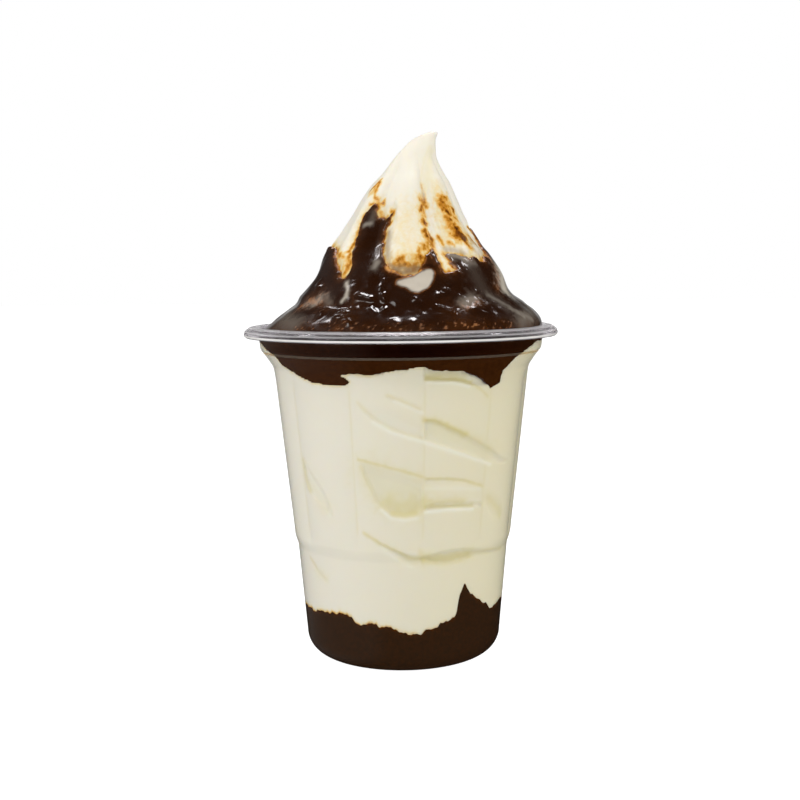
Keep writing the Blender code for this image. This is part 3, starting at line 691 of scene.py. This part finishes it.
def node(tree, kind, inputs=None, **settings):
    """A new node with its properties and then its inputs set."""
    made = tree.nodes.new("ShaderNode" + kind)
    for key, value in settings.items():
        setattr(made, key, value)
    return filled(tree, made, inputs or {})


def calc(tree, operation, *numbers):
    """The result of one step of arithmetic on numbers or sockets."""
    return node(tree, "Math", dict(enumerate(numbers)), operation=operation).outputs[0]


def material(name, look, *details):
    """A new material. Its Principled shader has the inputs that the look gives."""
    made = bpy.data.materials.new(name)
    made.use_nodes = True
    tree = made.node_tree
    filled(tree, tree.nodes["Principled BSDF"], look(tree, *details))
    return made


def mapped(tree, source, low, high, to_low, to_high):
    """A number brought from one range into another."""
    ends = {"From Min": low, "From Max": high, "To Min": to_low, "To Max": to_high}
    return node(tree, "MapRange", {"Value": source, **ends}).outputs["Result"]


def shaders_mixed(tree, share, first, second):
    """Two shaders mixed. A share of 1 is all of the second."""
    return node(tree, "MixShader", {0: share, 1: first, 2: second}).outputs[0]


def attribute(tree, label):
    """A vertex attribute as a number."""
    return node(tree, "Attribute", attribute_name=label).outputs["Fac"]


def grain(tree, size, detail=2.0):
    """Noise in the object's own millimetres, about 0 to 1."""
    where = node(tree, "TexCoord").outputs["Object"]
    swells = {"Vector": where, "Scale": 1.0 / (size * MM), "Detail": detail}
    return node(tree, "TexNoise", swells).outputs["Fac"]


def wavering(tree, size, low, high, detail=2.0):
    """A number that wavers between two others, in swells of about that size."""
    return mapped(tree, grain(tree, size, detail), 0.3, 0.7, low, high)


def bump(tree, size, detail, far):
    """Fine relief with swells of about that size, so many mm high."""
    inputs = {"Height": grain(tree, size, detail), "Distance": far * MM}
    return node(tree, "Bump", inputs).outputs["Normal"]


def mottled(tree, size, strength):
    """The film that the vertices have, made patchy where it is neither bare nor thick."""
    film = attribute(tree, "film")
    patchy = wavering(tree, size, -strength, strength, 4.0)
    between = calc(tree, "MULTIPLY", film, calc(tree, "SUBTRACT", 1.0, film))
    return calc(tree, "MULTIPLY_ADD", between, patchy, film)


def film_colour(tree, film, deep, **tints):
    """The colour of ice cream under a film of sauce, from bare to fully covered. The tints lie
    over it, each as far as the vertex attribute of its name says."""
    ramp = node(tree, "ValToRGB", {"Fac": film})
    steps = ramp.color_ramp.elements
    stops = FILM_RAMP + [(1.0, deep)]
    while len(steps) < len(stops):
        steps.new(0.5)
    for step, (where, colour) in zip(steps, stops):
        step.position = where
        step.color = (*colour, 1.0)
    colour = ramp.outputs["Color"]
    for label, tint in tints.items():
        mix = {"Factor": attribute(tree, label), "A": colour, "B": tint}
        colour = node(tree, "Mix", mix, data_type="RGBA").outputs["Result"]
    return colour


def soft_serve(tree):
    """Ivory ice cream with a soft sheen, amber and brown where sauce is smeared on it. Painted
    shade lies in its hollows, down the cup's creases, on its right side and beside the peak's
    groove, and painted highlights lie on the hollows' lower lips.
    """
    film = mottled(tree, 1.3, 0.7)
    tints = {"veil": VEIL, "warm_shade": WARM_SHADE, "hollow": HOLLOW_SHADE, "lip": LIP_HIGHLIGHT}
    return {
        "Base Color": film_colour(tree, film, DEEP_COAT, **tints),
        "Roughness": mapped(tree, film, 0.0, 0.6, 0.42, 0.16),
        "Normal": bump(tree, 0.6, 4.0, 0.04),
        "Subsurface Weight": 0.35,
        "Subsurface Radius": (1.0, 0.8, 0.5),
        "Subsurface Scale": 2.5 * MM,
        "IOR": 1.4,
    }


def wet_sauce(tree):
    """Glossy chocolate sauce, amber and duller where it is thin, paler where melted ice cream is
    mixed in and where sheen and reflections are painted on it.
    """
    film = mottled(tree, 1.4, 0.6)
    duller = mapped(tree, film, 0.6, 0.9, 0.5, 0.1)
    return {
        "Base Color": film_colour(tree, film, DEEP_COAT, milk=MILK_AND_SHEEN),
        "Roughness": calc(tree, "MAXIMUM", wavering(tree, 4.0, 0.12, 0.22), duller),
        "Normal": bump(tree, 1.6, 1.0, 0.03),
        "IOR": 1.5,
    }


def pressed_sauce(tree, deep, patches, roughness):
    """Sauce against the plastic, so without gloss of its own, and amber where it is thin. patches
    are the size and strength of its spots, and roughness is a size and two ends."""
    return {
        "Base Color": film_colour(tree, mottled(tree, *patches), deep),
        "Roughness": wavering(tree, *roughness),
        "Specular IOR Level": 0.0,
    }


def clear_plastic(tree):
    """Clear plastic. Light from lamps and off the food goes straight through it."""
    path = node(tree, "LightPath").outputs
    open_way = node(tree, "BsdfTransparent", {"Color": (0.97, 0.975, 0.97)}).outputs["BSDF"]
    straight = calc(tree, "MAXIMUM", path["Is Shadow Ray"], path["Is Diffuse Ray"])
    glassy = tree.nodes["Principled BSDF"].outputs["BSDF"]
    out = shaders_mixed(tree, straight, glassy, open_way)
    filled(tree, tree.nodes["Material Output"], {"Surface": out})
    return {
        "Base Color": (0.985, 0.99, 0.99),
        "Transmission Weight": 1.0,
        "Roughness": wavering(tree, 12.0, 0.015, 0.04),
        "IOR": PLASTIC_IOR,
    }


def greyed(tree, greys, tint, paler):
    """A tinted colour that wavers between two greys. It is painted paler towards the cup's left and
    right, for the light that shows through the rim's ends."""
    place = node(tree, "SeparateXYZ", {0: node(tree, "TexCoord").outputs["Object"]})
    across = calc(tree, "ABSOLUTE", place.outputs["X"])
    gain = mapped(tree, across, RIM_SIDE_LIGHT_FROM * MM, RIM_SIDE_LIGHT_TO * MM, 0.0, paler)
    shade = calc(tree, "ADD", wavering(tree, 8.0, *greys), gain)
    grey = node(tree, "CombineColor", dict.fromkeys(("Red", "Green", "Blue"), shade))
    mix = {"Factor": 1.0, "A": grey.outputs["Color"], "B": tint}
    return node(tree, "Mix", mix, data_type="RGBA", blend_type="MULTIPLY").outputs["Result"]


def frosted(tree, greys, tint, paler, clearness, roughness):
    """Partly opaque grey plastic. On the rolled rim a little of it is frosted; its paler, more
    opaque bands paint highlights on the rim's ridges and the knee, and a glow on the cut lip.
    """
    return {
        "Base Color": greyed(tree, greys, tint, paler),
        "Transmission Weight": clearness,
        "Roughness": roughness,
        "IOR": PLASTIC_IOR,
    }


# ---- the cup

def arc(centre, across, up, degrees):
    """Points (radius, height) on an ellipse round a centre, at the given degrees."""
    turns = [math.radians(d) for d in degrees]
    return [(centre[0] + across * math.cos(a), centre[1] + up * math.sin(a)) for a in turns]


def roll_outline():
    """The hidden face of the rolled rim, from its lip over the crest to the wall."""
    nose = RIM_RADIUS - WALL - RIM_CREST[0], RIM_CREST[1] - WALL - RIM_NOSE_HEIGHT
    turn = RIM_CREST[0] - RIM_ROOT[0], RIM_CREST[1] - WALL - RIM_TURN_HEIGHT
    return [
        (RIM_LIP[0] - WALL / 2, RIM_LIP[1]),
        *arc((RIM_CREST[0], RIM_NOSE_HEIGHT), *nose, range(0, 90, 3)),
        *arc((RIM_CREST[0], RIM_TURN_HEIGHT), *turn, range(90, 181, 10)),
    ]


def softened(before, corner, after, soft):
    """A curve of six points in place of a corner, which starts and ends so far from it."""
    p, q, r = np.array((before, corner, after))
    start = q + (p - q) / np.linalg.norm(p - q) * soft
    end = q + (r - q) / np.linalg.norm(r - q) * soft
    return [start * (1 - t) ** 2 + q * 2 * t * (1 - t) + end * t**2 for t in np.linspace(0, 1, 6)]


def denser(path, most):
    """A path with points added where two lie further apart than most."""
    made = [path[0]]
    for p, q in zip(path, path[1:]):
        steps = max(1, math.ceil(math.dist(p, q) / most))
        p, q = np.array(p), np.array(q)
        made += [tuple(p + (q - p) * (i + 1) / steps) for i in range(steps)]
    return made


def cup_outline():
    """One face of the plastic as (radius, height): from the lip through the inside of the roll,
    then down the outside of the wall to the base."""
    path = roll_outline()
    corners = [RIM_ROOT, COLLAR, KNEE, FLARE, SHOULDER, LEDGE_TOP, LEDGE_BOTTOM]
    corners.append((float(wall_radius(BASE_FILLET + 1)), BASE_FILLET + 1))
    for before, corner, after in zip(corners, corners[1:], corners[2:]):
        path += softened(before, corner, after, SOFTNESS.get(corner, 0.4))
    foot = arc((BASE_FLAT_RADIUS, BASE_FILLET), BASE_FILLET, BASE_FILLET, range(0, -91, -6))
    return denser(path, 1.6) + foot


def ridged(z, spans):
    """A smooth ridge, 0 to 1, over each (from, to) span of heights."""
    return sum(np.sin(np.pi * np.clip((z - low) / (high - low), 0, 1)) for low, high in spans)


def cup_profile():
    """The cup's outline as (radius, height), from the edge of its flat underside round the lip to
    the edge of its floor, and how many of its points are on the face of cup_outline."""
    path = np.array(cup_outline())
    along = np.gradient(path, axis=0)
    inward = np.stack((-along[:, 1], along[:, 0]), -1) / np.linalg.norm(along, axis=1, keepdims=True)
    if (path + inward * WALL)[len(path) // 2, 0] > path[len(path) // 2, 0]:
        inward = -inward
    roll = path[:, 0] > RIM_CREST[0] - 0.6
    ridge = RIM_RIDGE * (ridged(path[:, 1] + WALL * inward[:, 1], RIM_RIDGES) - 0.5) * roll
    other = path + inward * (WALL + ridge)[:, None]
    other[:, 1] = np.where(path[:, 1] < 0.01, WALL, other[:, 1])
    turns = np.radians(np.arange(160, 0, -20))[:, None]
    middle, across = (path[0] + other[0]) / 2, (other[0] - path[0]) / 2
    lip = middle + across * np.cos(turns) - np.array((0, WALL / 2)) * np.sin(turns)
    return np.vstack((path[::-1], lip, other)), len(path)


def cup_slots(profile, first_face):
    """Which material each band of the cup has, by its number in make_cup."""
    r, z = ((profile[1:] + profile[:-1]) / 2).T
    other_face = np.arange(len(z)) >= first_face - 1
    slots = np.zeros(len(z), dtype=np.int32)
    slots[(z > RIM_ROOT[1]) | (r > RIM_ROOT[0])] = 1
    slots[other_face & (ridged(z, RIM_RIDGES[1:]) > 0.05) & (r > RIM_CREST[0])] = 2
    slots[other_face & (ridged(z, RIM_RIDGES[:1]) > 0.05) & (r > RIM_LIP[0] - WALL / 2)] = 3
    slots[~other_face & (ridged(z, [KNEE_RIDGE]) > 0.05)] = 4
    return slots


def make_cup():
    """The clear cup with its rolled rim, one shell with an outside and an inside."""
    profile, first_face = cup_profile()
    heading = turned(CREASE_HEADING + np.arange(CUP_COLUMNS) * 360.0 / CUP_COLUMNS)
    rows = np.array([point(r - crease(heading, z), heading, z) for r, z in profile])
    mesh = skin("cup_clear", rows, foot=(0, 0, 0), top=(0, 0, WALL))
    surfaces = [
        material("clear_plastic", clear_plastic),
        material("rolled_rim", frosted, (0.50, 0.60), (1.0, 0.96, 1.0), 0.30, 0.96, 0.12),
        # Painted highlights on the rim's ridges and the knee, and a painted glow along the cut lip
        material("rim_ridge_highlight", frosted, (0.62, 0.70), (1.0, 0.97, 1.0), 0.24, 0.65, 0.30),
        material("cut_lip_glow", frosted, (0.84, 1.0), (1.0, 0.98, 0.96), 0.0, 0.0, 0.25),
        material("knee_ridge_highlight", frosted, (0.75, 0.90), (1.0, 0.80, 0.58), 0.0, 0.91, 0.30),
    ]
    add("cup_clear", mesh, "cup", "clear_plastic", *surfaces)
    set_slots(mesh, np.repeat(cup_slots(profile, first_face), CUP_COLUMNS))


# ---- the food

def syrup_edge(heading):
    """The height of the syrup against the wall, with its small jags."""
    around = point(30.0, heading, 0.0)
    edge = through(SYRUP_EDGE, heading)
    return edge + 0.45 * noise(around, 1.4, 11) + 0.35 * noise(around, 0.7, 12)


def make_syrup():
    """Syrup pooled in the bottom, with an uneven edge that climbs the wall in one place."""
    heading = columns(SYRUP_COLUMNS)
    edge = syrup_edge(heading)
    inner = BASE_FILLET - WALL + REACH
    base = [(BASE_FLAT_RADIUS * share, WALL - REACH) for share in (0.3, 0.6, 0.85, 1.0)]
    base += arc((BASE_FLAT_RADIUS, BASE_FILLET), inner, inner, range(-80, 1, 10))
    rows = [point(radius, heading, z) for radius, z in base]
    film = [np.full_like(heading, SYRUP_FILM)] * len(rows)
    for share in np.linspace(0.04, 1.0, 26):
        z = BASE_FILLET + (edge - BASE_FILLET) * share
        rows.append(point(contact_radius(heading, z), heading, z))
        ragged = 0.6 + 0.6 * noise(rows[-1], 1.5, 13)
        film.append(SYRUP_FILM - 0.25 * np.exp(-(edge - z) / 0.5) * ragged)
    for share in (0.97, 0.9, 0.7, 0.4):
        z = SYRUP_MIDDLE + (edge - SYRUP_MIDDLE) * share**4
        rows.append(point(contact_radius(heading, edge) * share, heading, z))
        film.append(np.full_like(heading, 0.9))
    poles = {"foot": (0, 0, WALL - REACH), "top": (0, 0, SYRUP_MIDDLE)}
    mesh = skin("syrup_pool", np.array(rows), values={"film": np.array(film)}, **poles)
    surface = material("bottom_syrup", pressed_sauce, DEEP_SYRUP, (1.0, 1.0), (5.0, 0.4, 0.6))
    add("syrup_pool", mesh, "sauce_bottom", "syrup", surface)


def painted(strokes, heading, z, places):
    """Strokes laid over each other, 0 to 1."""
    bare = np.ones(z.shape)
    ragged = 1 + 0.3 * noise(places, 1.2, 31) + 0.2 * noise(places, 0.6, 32)
    for width, strength, *path in strokes:
        off = distance(heading, z, pairs(path)) / (1.2 * width)
        bare = bare * (1 - strength * np.exp(-(off * ragged) ** 2))
    return 1 - bare


def ice_cream_depth(heading, z, places, inside, wall):
    """How far the ice cream lies inside the food's outside, in mm."""
    hollow = hollow_depth(heading, z) * wall
    under_wall_sauce = np.where(inside > 0.6, 1.2, 0.05) * wall * eased(-0.5, 0.1, inside)
    under_mound_sauce = SAUCE_RISE * eased(-3.5, 0.0, inside) + 1.0 * eased(0.6, 1.6, inside)
    below_syrup = 0.3 * eased(0.0, 0.4, syrup_edge(heading) - z)
    hidden = hollow + under_wall_sauce + under_mound_sauce * (1 - wall) + below_syrup
    middle_lobe = 0.9 * np.exp(-(((heading - 2) / 17) ** 2)) * eased(121, 125, z) * (1 - eased(138, 160, z))
    waves = 0.12 * noise(places, 9.0, 41) * (1 - wall) + ridges(heading, z, places)
    return hidden - waves - middle_lobe


def ice_cream_looks(heading, z, places, inside, wall):
    """The vertex attributes that the ice cream's material reads."""
    halo = 0.55 * np.exp(np.minimum(inside, 0.0) / 0.8) * (0.8 + 0.5 * noise(places, 1.3, 42))
    by_sauce = 0.12 * np.exp(np.minimum(inside, 0) / 0.25)
    by_syrup = np.exp(-np.maximum(z - syrup_edge(heading), 0) / 0.35)
    by_syrup = by_syrup * (0.35 + 0.35 * noise(places, 1.5, 43))
    at = heading, z, places
    films = (painted(SMEARS, *at), halo * (1 - wall), by_sauce * wall, by_syrup * wall)
    # Painted shade in the hollows of the front and the back
    tints = HOLLOW_SHADE_STROKES + back_strokes(0.7, 0.7, 0.5)
    # Painted highlights along the lower lips of the hollows
    lips = LIP_HIGHLIGHTS + back_strokes(-0.5, 0.45, 0.5)
    # Painted shade: darker and yellower towards the right of the cup, below its mouth
    warm_shade = eased(-30.0, 36.0, places[..., 0]) * (1 - eased(95.0, 108.0, z))
    return {
        "film": np.clip(np.maximum.reduce(films), 0, 1),
        # painted shade in the hollows and down the creases of the cup's panels
        "hollow": np.maximum(painted(tints, *at) * wall, crease_shade(heading, z)),
        # painted highlights on those lips
        "lip": painted(lips, *at) * wall,
        "veil": painted(VEILS, *at),
        "warm_shade": np.maximum(warm_shade, painted(GROOVE_SHADE, *at)),
    }


def make_ice_cream():
    """One body of soft serve, from the syrup up to the tip of its leaning peak."""
    heading = columns(ICE_CREAM_COLUMNS)
    z = heights(syrup_edge(heading) - 1.6, ICE_CREAM_WALL_ROWS)
    for stretch in ICE_CREAM_MOUND_ROWS:
        z = np.vstack((z, climbed(*stretch, heading)))
    rows = hull(heading, z)
    normals = outward(rows)
    inside = sauce_inside(heading, z, rows)
    wall = on_wall(z)
    level = normals * (1, 1, 0)
    level = level / np.maximum(np.linalg.norm(level, axis=2, keepdims=True), 1e-6)
    depth = ice_cream_depth(heading, z, rows, inside, wall)
    rows = rows - np.where(wall[..., None] > 0.5, level, normals) * depth[..., None]
    values = ice_cream_looks(heading, z, rows, inside, wall)
    poles = {"foot": (0, 0, ICE_CREAM_FOOT), "top": (TIP[0], 0, TIP[1])}
    mesh = skin("ice_cream_body", rows, values=values, **poles)
    add("ice_cream_body", mesh, "ice_cream", "soft_serve", material("soft_serve", soft_serve))


def relief(heading, z, places, inside):
    """Swells, drips and small bumps of the sauce on the mound, in mm."""
    on_mound = eased(102.0, 105.0, z)
    stretched = places * np.array((1.0, 1.0, 0.7))
    broad = 0.6 * noise(stretched, 7.5, 21) + 0.3 * noise(stretched, 4.2, 22)
    busy = eased(105.5, 110.0, z) * (1 - 0.7 * eased(120, 125, z)) * np.exp(-(((heading - 4) / 42) ** 4))
    fine = 0.24 * noise(stretched, 2.2, 23) + 0.08 * noise(places, 1.2, 24)
    swells = on_mound * eased(-0.5, 2.0, inside) * (broad * (0.4 + 0.6 * busy) + fine * busy)
    drops = np.zeros(z.shape)
    for width, tall, *path in DROPS:
        off = distance(heading, z, pairs(path)) / width
        drops = np.maximum(drops, tall * np.exp(-(off**2)))
    return swells + drops


def sauce_depth(heading, z, places, inside, wall):
    """How far the sauce lies inside the food's outside, in mm."""
    share = np.clip(inside / SAUCE_BEAD, 0, 1)
    bead = np.sqrt(1 - (1 - share) ** 2)
    mound_depth = SAUCE_RISE * (1 - bead) + SAUCE_DIP * eased(0.0, 0.9, -inside)
    wall_depth = SAUCE_WALL_DIP * eased(0.0, 0.5, -inside)
    return mound_depth * (1 - wall) + wall_depth * wall - relief(heading, z, places, inside)


def sauce_looks(heading, z, places, inside, wall):
    """How thick the sauce looks, and how much melted ice cream and painted sheen lie on it, 0 to 1."""
    pool = signed_distance([MILK_POOL], heading, z) + MILK_RIM + 0.2 * noise(places, 1.5, 51)
    pooled = eased(-0.2, 0.6, pool) * (0.92 - 0.1 * noise(places, 3.0, 52))
    thin_foot = 0.18 * (1 - eased(103.0, 108.0, z)) * (0.5 + 0.4 * noise(places, 2.6, 53))
    thin_edge = 0.42 * np.exp(-np.maximum(inside, 0) / 0.8)
    specks = eased(0.42, 0.62, noise(places, 0.7, 54)) * eased(103, 104, z) * (1 - eased(105, 107, z))
    specks = specks * (np.abs(heading) < 50)
    milk = np.maximum.reduce((painted(MILK_AND_SHEEN_STROKES, heading, z, places), pooled, 0.05 * specks))
    under_knee = 1 - eased(KNEE_RIDGE[0] - 0.3, KNEE_RIDGE[0], z)
    beside = (np.abs(places[..., 0] - 4) / 40) ** 1.5
    film = 1.0 - (thin_foot + thin_edge + 0.24 * specks) * (1 - wall)
    film = film - (0.12 * under_knee + 0.08 * beside * (1 - under_knee)) * wall
    film = film - painted(THIN, heading, z, places) - 0.27 * np.exp(-((pool + 0.2) / 0.35) ** 2)
    return film, milk


def make_sauce():
    """Thick sauce between ice cream and wall under the rim, and over the coil above it. Where its
    outline ends, its surface dips under the ice cream's."""
    heading = columns(SAUCE_COLUMNS)
    z = heights(np.full_like(heading, SAUCE_FLOOR), [(MOUTH, SAUCE_WALL_ROWS)])
    z = np.vstack((z, climbed(MOUTH, SAUCE_CEILING, SAUCE_MOUND_ROWS, heading)))
    rows = hull(heading, z)
    normals = outward(rows)
    inside = sauce_inside(heading, z, rows)
    wall = on_wall(z)
    outer = rows - normals * sauce_depth(heading, z, rows, inside, wall)[..., None]
    film, milk = sauce_looks(heading, z, rows, inside, wall)

    back = hull(heading, heights(z[-1], [(z[0], SAUCE_BACK_ROWS)])[1:-1])
    back = back - outward(back[::-1])[::-1] * SAUCE_BACK
    plain = np.ones(back.shape[:2])
    values = {"film": np.clip(np.vstack((film, plain)), 0, 1), "milk": np.vstack((milk, 0 * plain))}
    mesh = skin("sauce_coat", np.vstack((outer, back)), ring=True, values=values)
    wet = material("chocolate_sauce", wet_sauce)
    pressed = material("sauce_on_plastic", pressed_sauce, DEEP_BAND, (1.4, 0.25), (3.0, 0.45, 0.6))
    add("sauce_coat", mesh, "sauce_top", "sauce", wet, pressed)
    set_slots(mesh, np.ones(SAUCE_WALL_ROWS * len(heading), dtype=np.int32))


# ---- camera, light and floor

def make_camera():
    """A camera at the photograph's distance, height and tilt."""
    data = bpy.data.cameras.new("camera")
    data.lens = CAMERA_LENS
    data.sensor_width = CAMERA_SENSOR
    aim = Matrix.Identity(4)
    for degrees, axis in ((CAMERA_TURN, "Z"), (90 - CAMERA_TILT, "X"), (CAMERA_ROLL, "Z")):
        aim = aim @ Matrix.Rotation(math.radians(degrees), 4, axis)
    made = placed("camera", data)
    made.matrix_world = Matrix.Translation(CAMERA_PLACE) @ aim
    bpy.context.scene.camera = made


def softbox(name, place, size, power, colour, mirrored, lights):
    """An area light that faces the middle of the sundae. Gloss may leave it out, or only gloss
    may show it."""
    data = bpy.data.lights.new(name, "AREA")
    data.shape = "RECTANGLE"
    data.size, data.size_y = size
    data.energy = power
    data.color = colour
    made = placed(name, data)
    made.location = place
    made.visible_glossy = mirrored
    made.visible_diffuse = lights
    made.rotation_euler = (Vector(MIDDLE) - Vector(place)).to_track_quat("-Z", "Y").to_euler()


def sky(tree, strength, colour=(1.0, 1.0, 1.0)):
    """Light from all round, of a fixed or a linked strength."""
    return node(tree, "Background", {"Color": colour, "Strength": strength}).outputs[0]


def make_world():
    """White for the camera, and soft light from all round. Gloss sees a dark room in front, which
    keeps the plastic and the sauce clear of haze, and light at the left and behind."""
    world = bpy.data.worlds.new("studio")
    bpy.context.scene.world = world
    world.use_nodes = True
    tree = world.node_tree
    tree.nodes.clear()
    way = node(tree, "SeparateXYZ", {0: node(tree, "TexCoord").outputs["Generated"]}).outputs
    path = node(tree, "LightPath").outputs
    soft = sky(tree, ROOM_LIGHT, ROOM_COLOUR)
    behind = mapped(tree, way["Y"], 0.92, 1.0, 0.008, 0.6)
    beside = mapped(tree, way["X"], -0.6, -0.25, 0.09, 0.0)
    mirrored = sky(tree, calc(tree, "MAXIMUM", behind, beside))
    through_glass = mapped(tree, way["Y"], -0.5, 0.2, 0.03, 1.0)
    seen = sky(tree, calc(tree, "MAXIMUM", through_glass, path["Is Camera Ray"]))
    lit = shaders_mixed(tree, path["Is Glossy Ray"], soft, mirrored)
    clear = calc(tree, "MAXIMUM", path["Is Camera Ray"], path["Is Transmission Ray"])
    node(tree, "OutputWorld", {"Surface": shaders_mixed(tree, clear, lit, seen)})


def white_table(tree):
    """A grey surface that shines white to the camera, so that no shadow shows."""
    path = node(tree, "LightPath").outputs
    seen = calc(tree, "MAXIMUM", path["Is Camera Ray"], path["Is Transmission Ray"])
    return {
        "Base Color": (0.35, 0.35, 0.35),
        "Emission Color": (1.0, 1.0, 1.0),
        "Emission Strength": mapped(tree, seen, 0.0, 1.0, 0.5, 1.0),
        "Roughness": 0.9,
        "Specular IOR Level": 0.1,
    }


def make_floor():
    """A plain table top under the cup."""
    mesh = bpy.data.meshes.new("floor")
    corners = [(x, y, -FLOOR_GAP) for x, y in ((-2.5, -0.8), (2.5, -0.8), (2.5, 4.0), (-2.5, 4.0))]
    mesh.from_pydata(corners, [], [(0, 1, 2, 3)])
    mesh.materials.append(material("floor", white_table))
    made = placed("floor", mesh)
    made.visible_glossy = False


def main():
    """The whole scene."""
    make_camera()
    make_world()
    for light in LIGHTS:
        softbox(*light)
    make_floor()
    make_cup()
    make_syrup()
    make_ice_cream()
    make_sauce()
    bpy.context.scene.view_settings.view_transform = "Standard"


main()
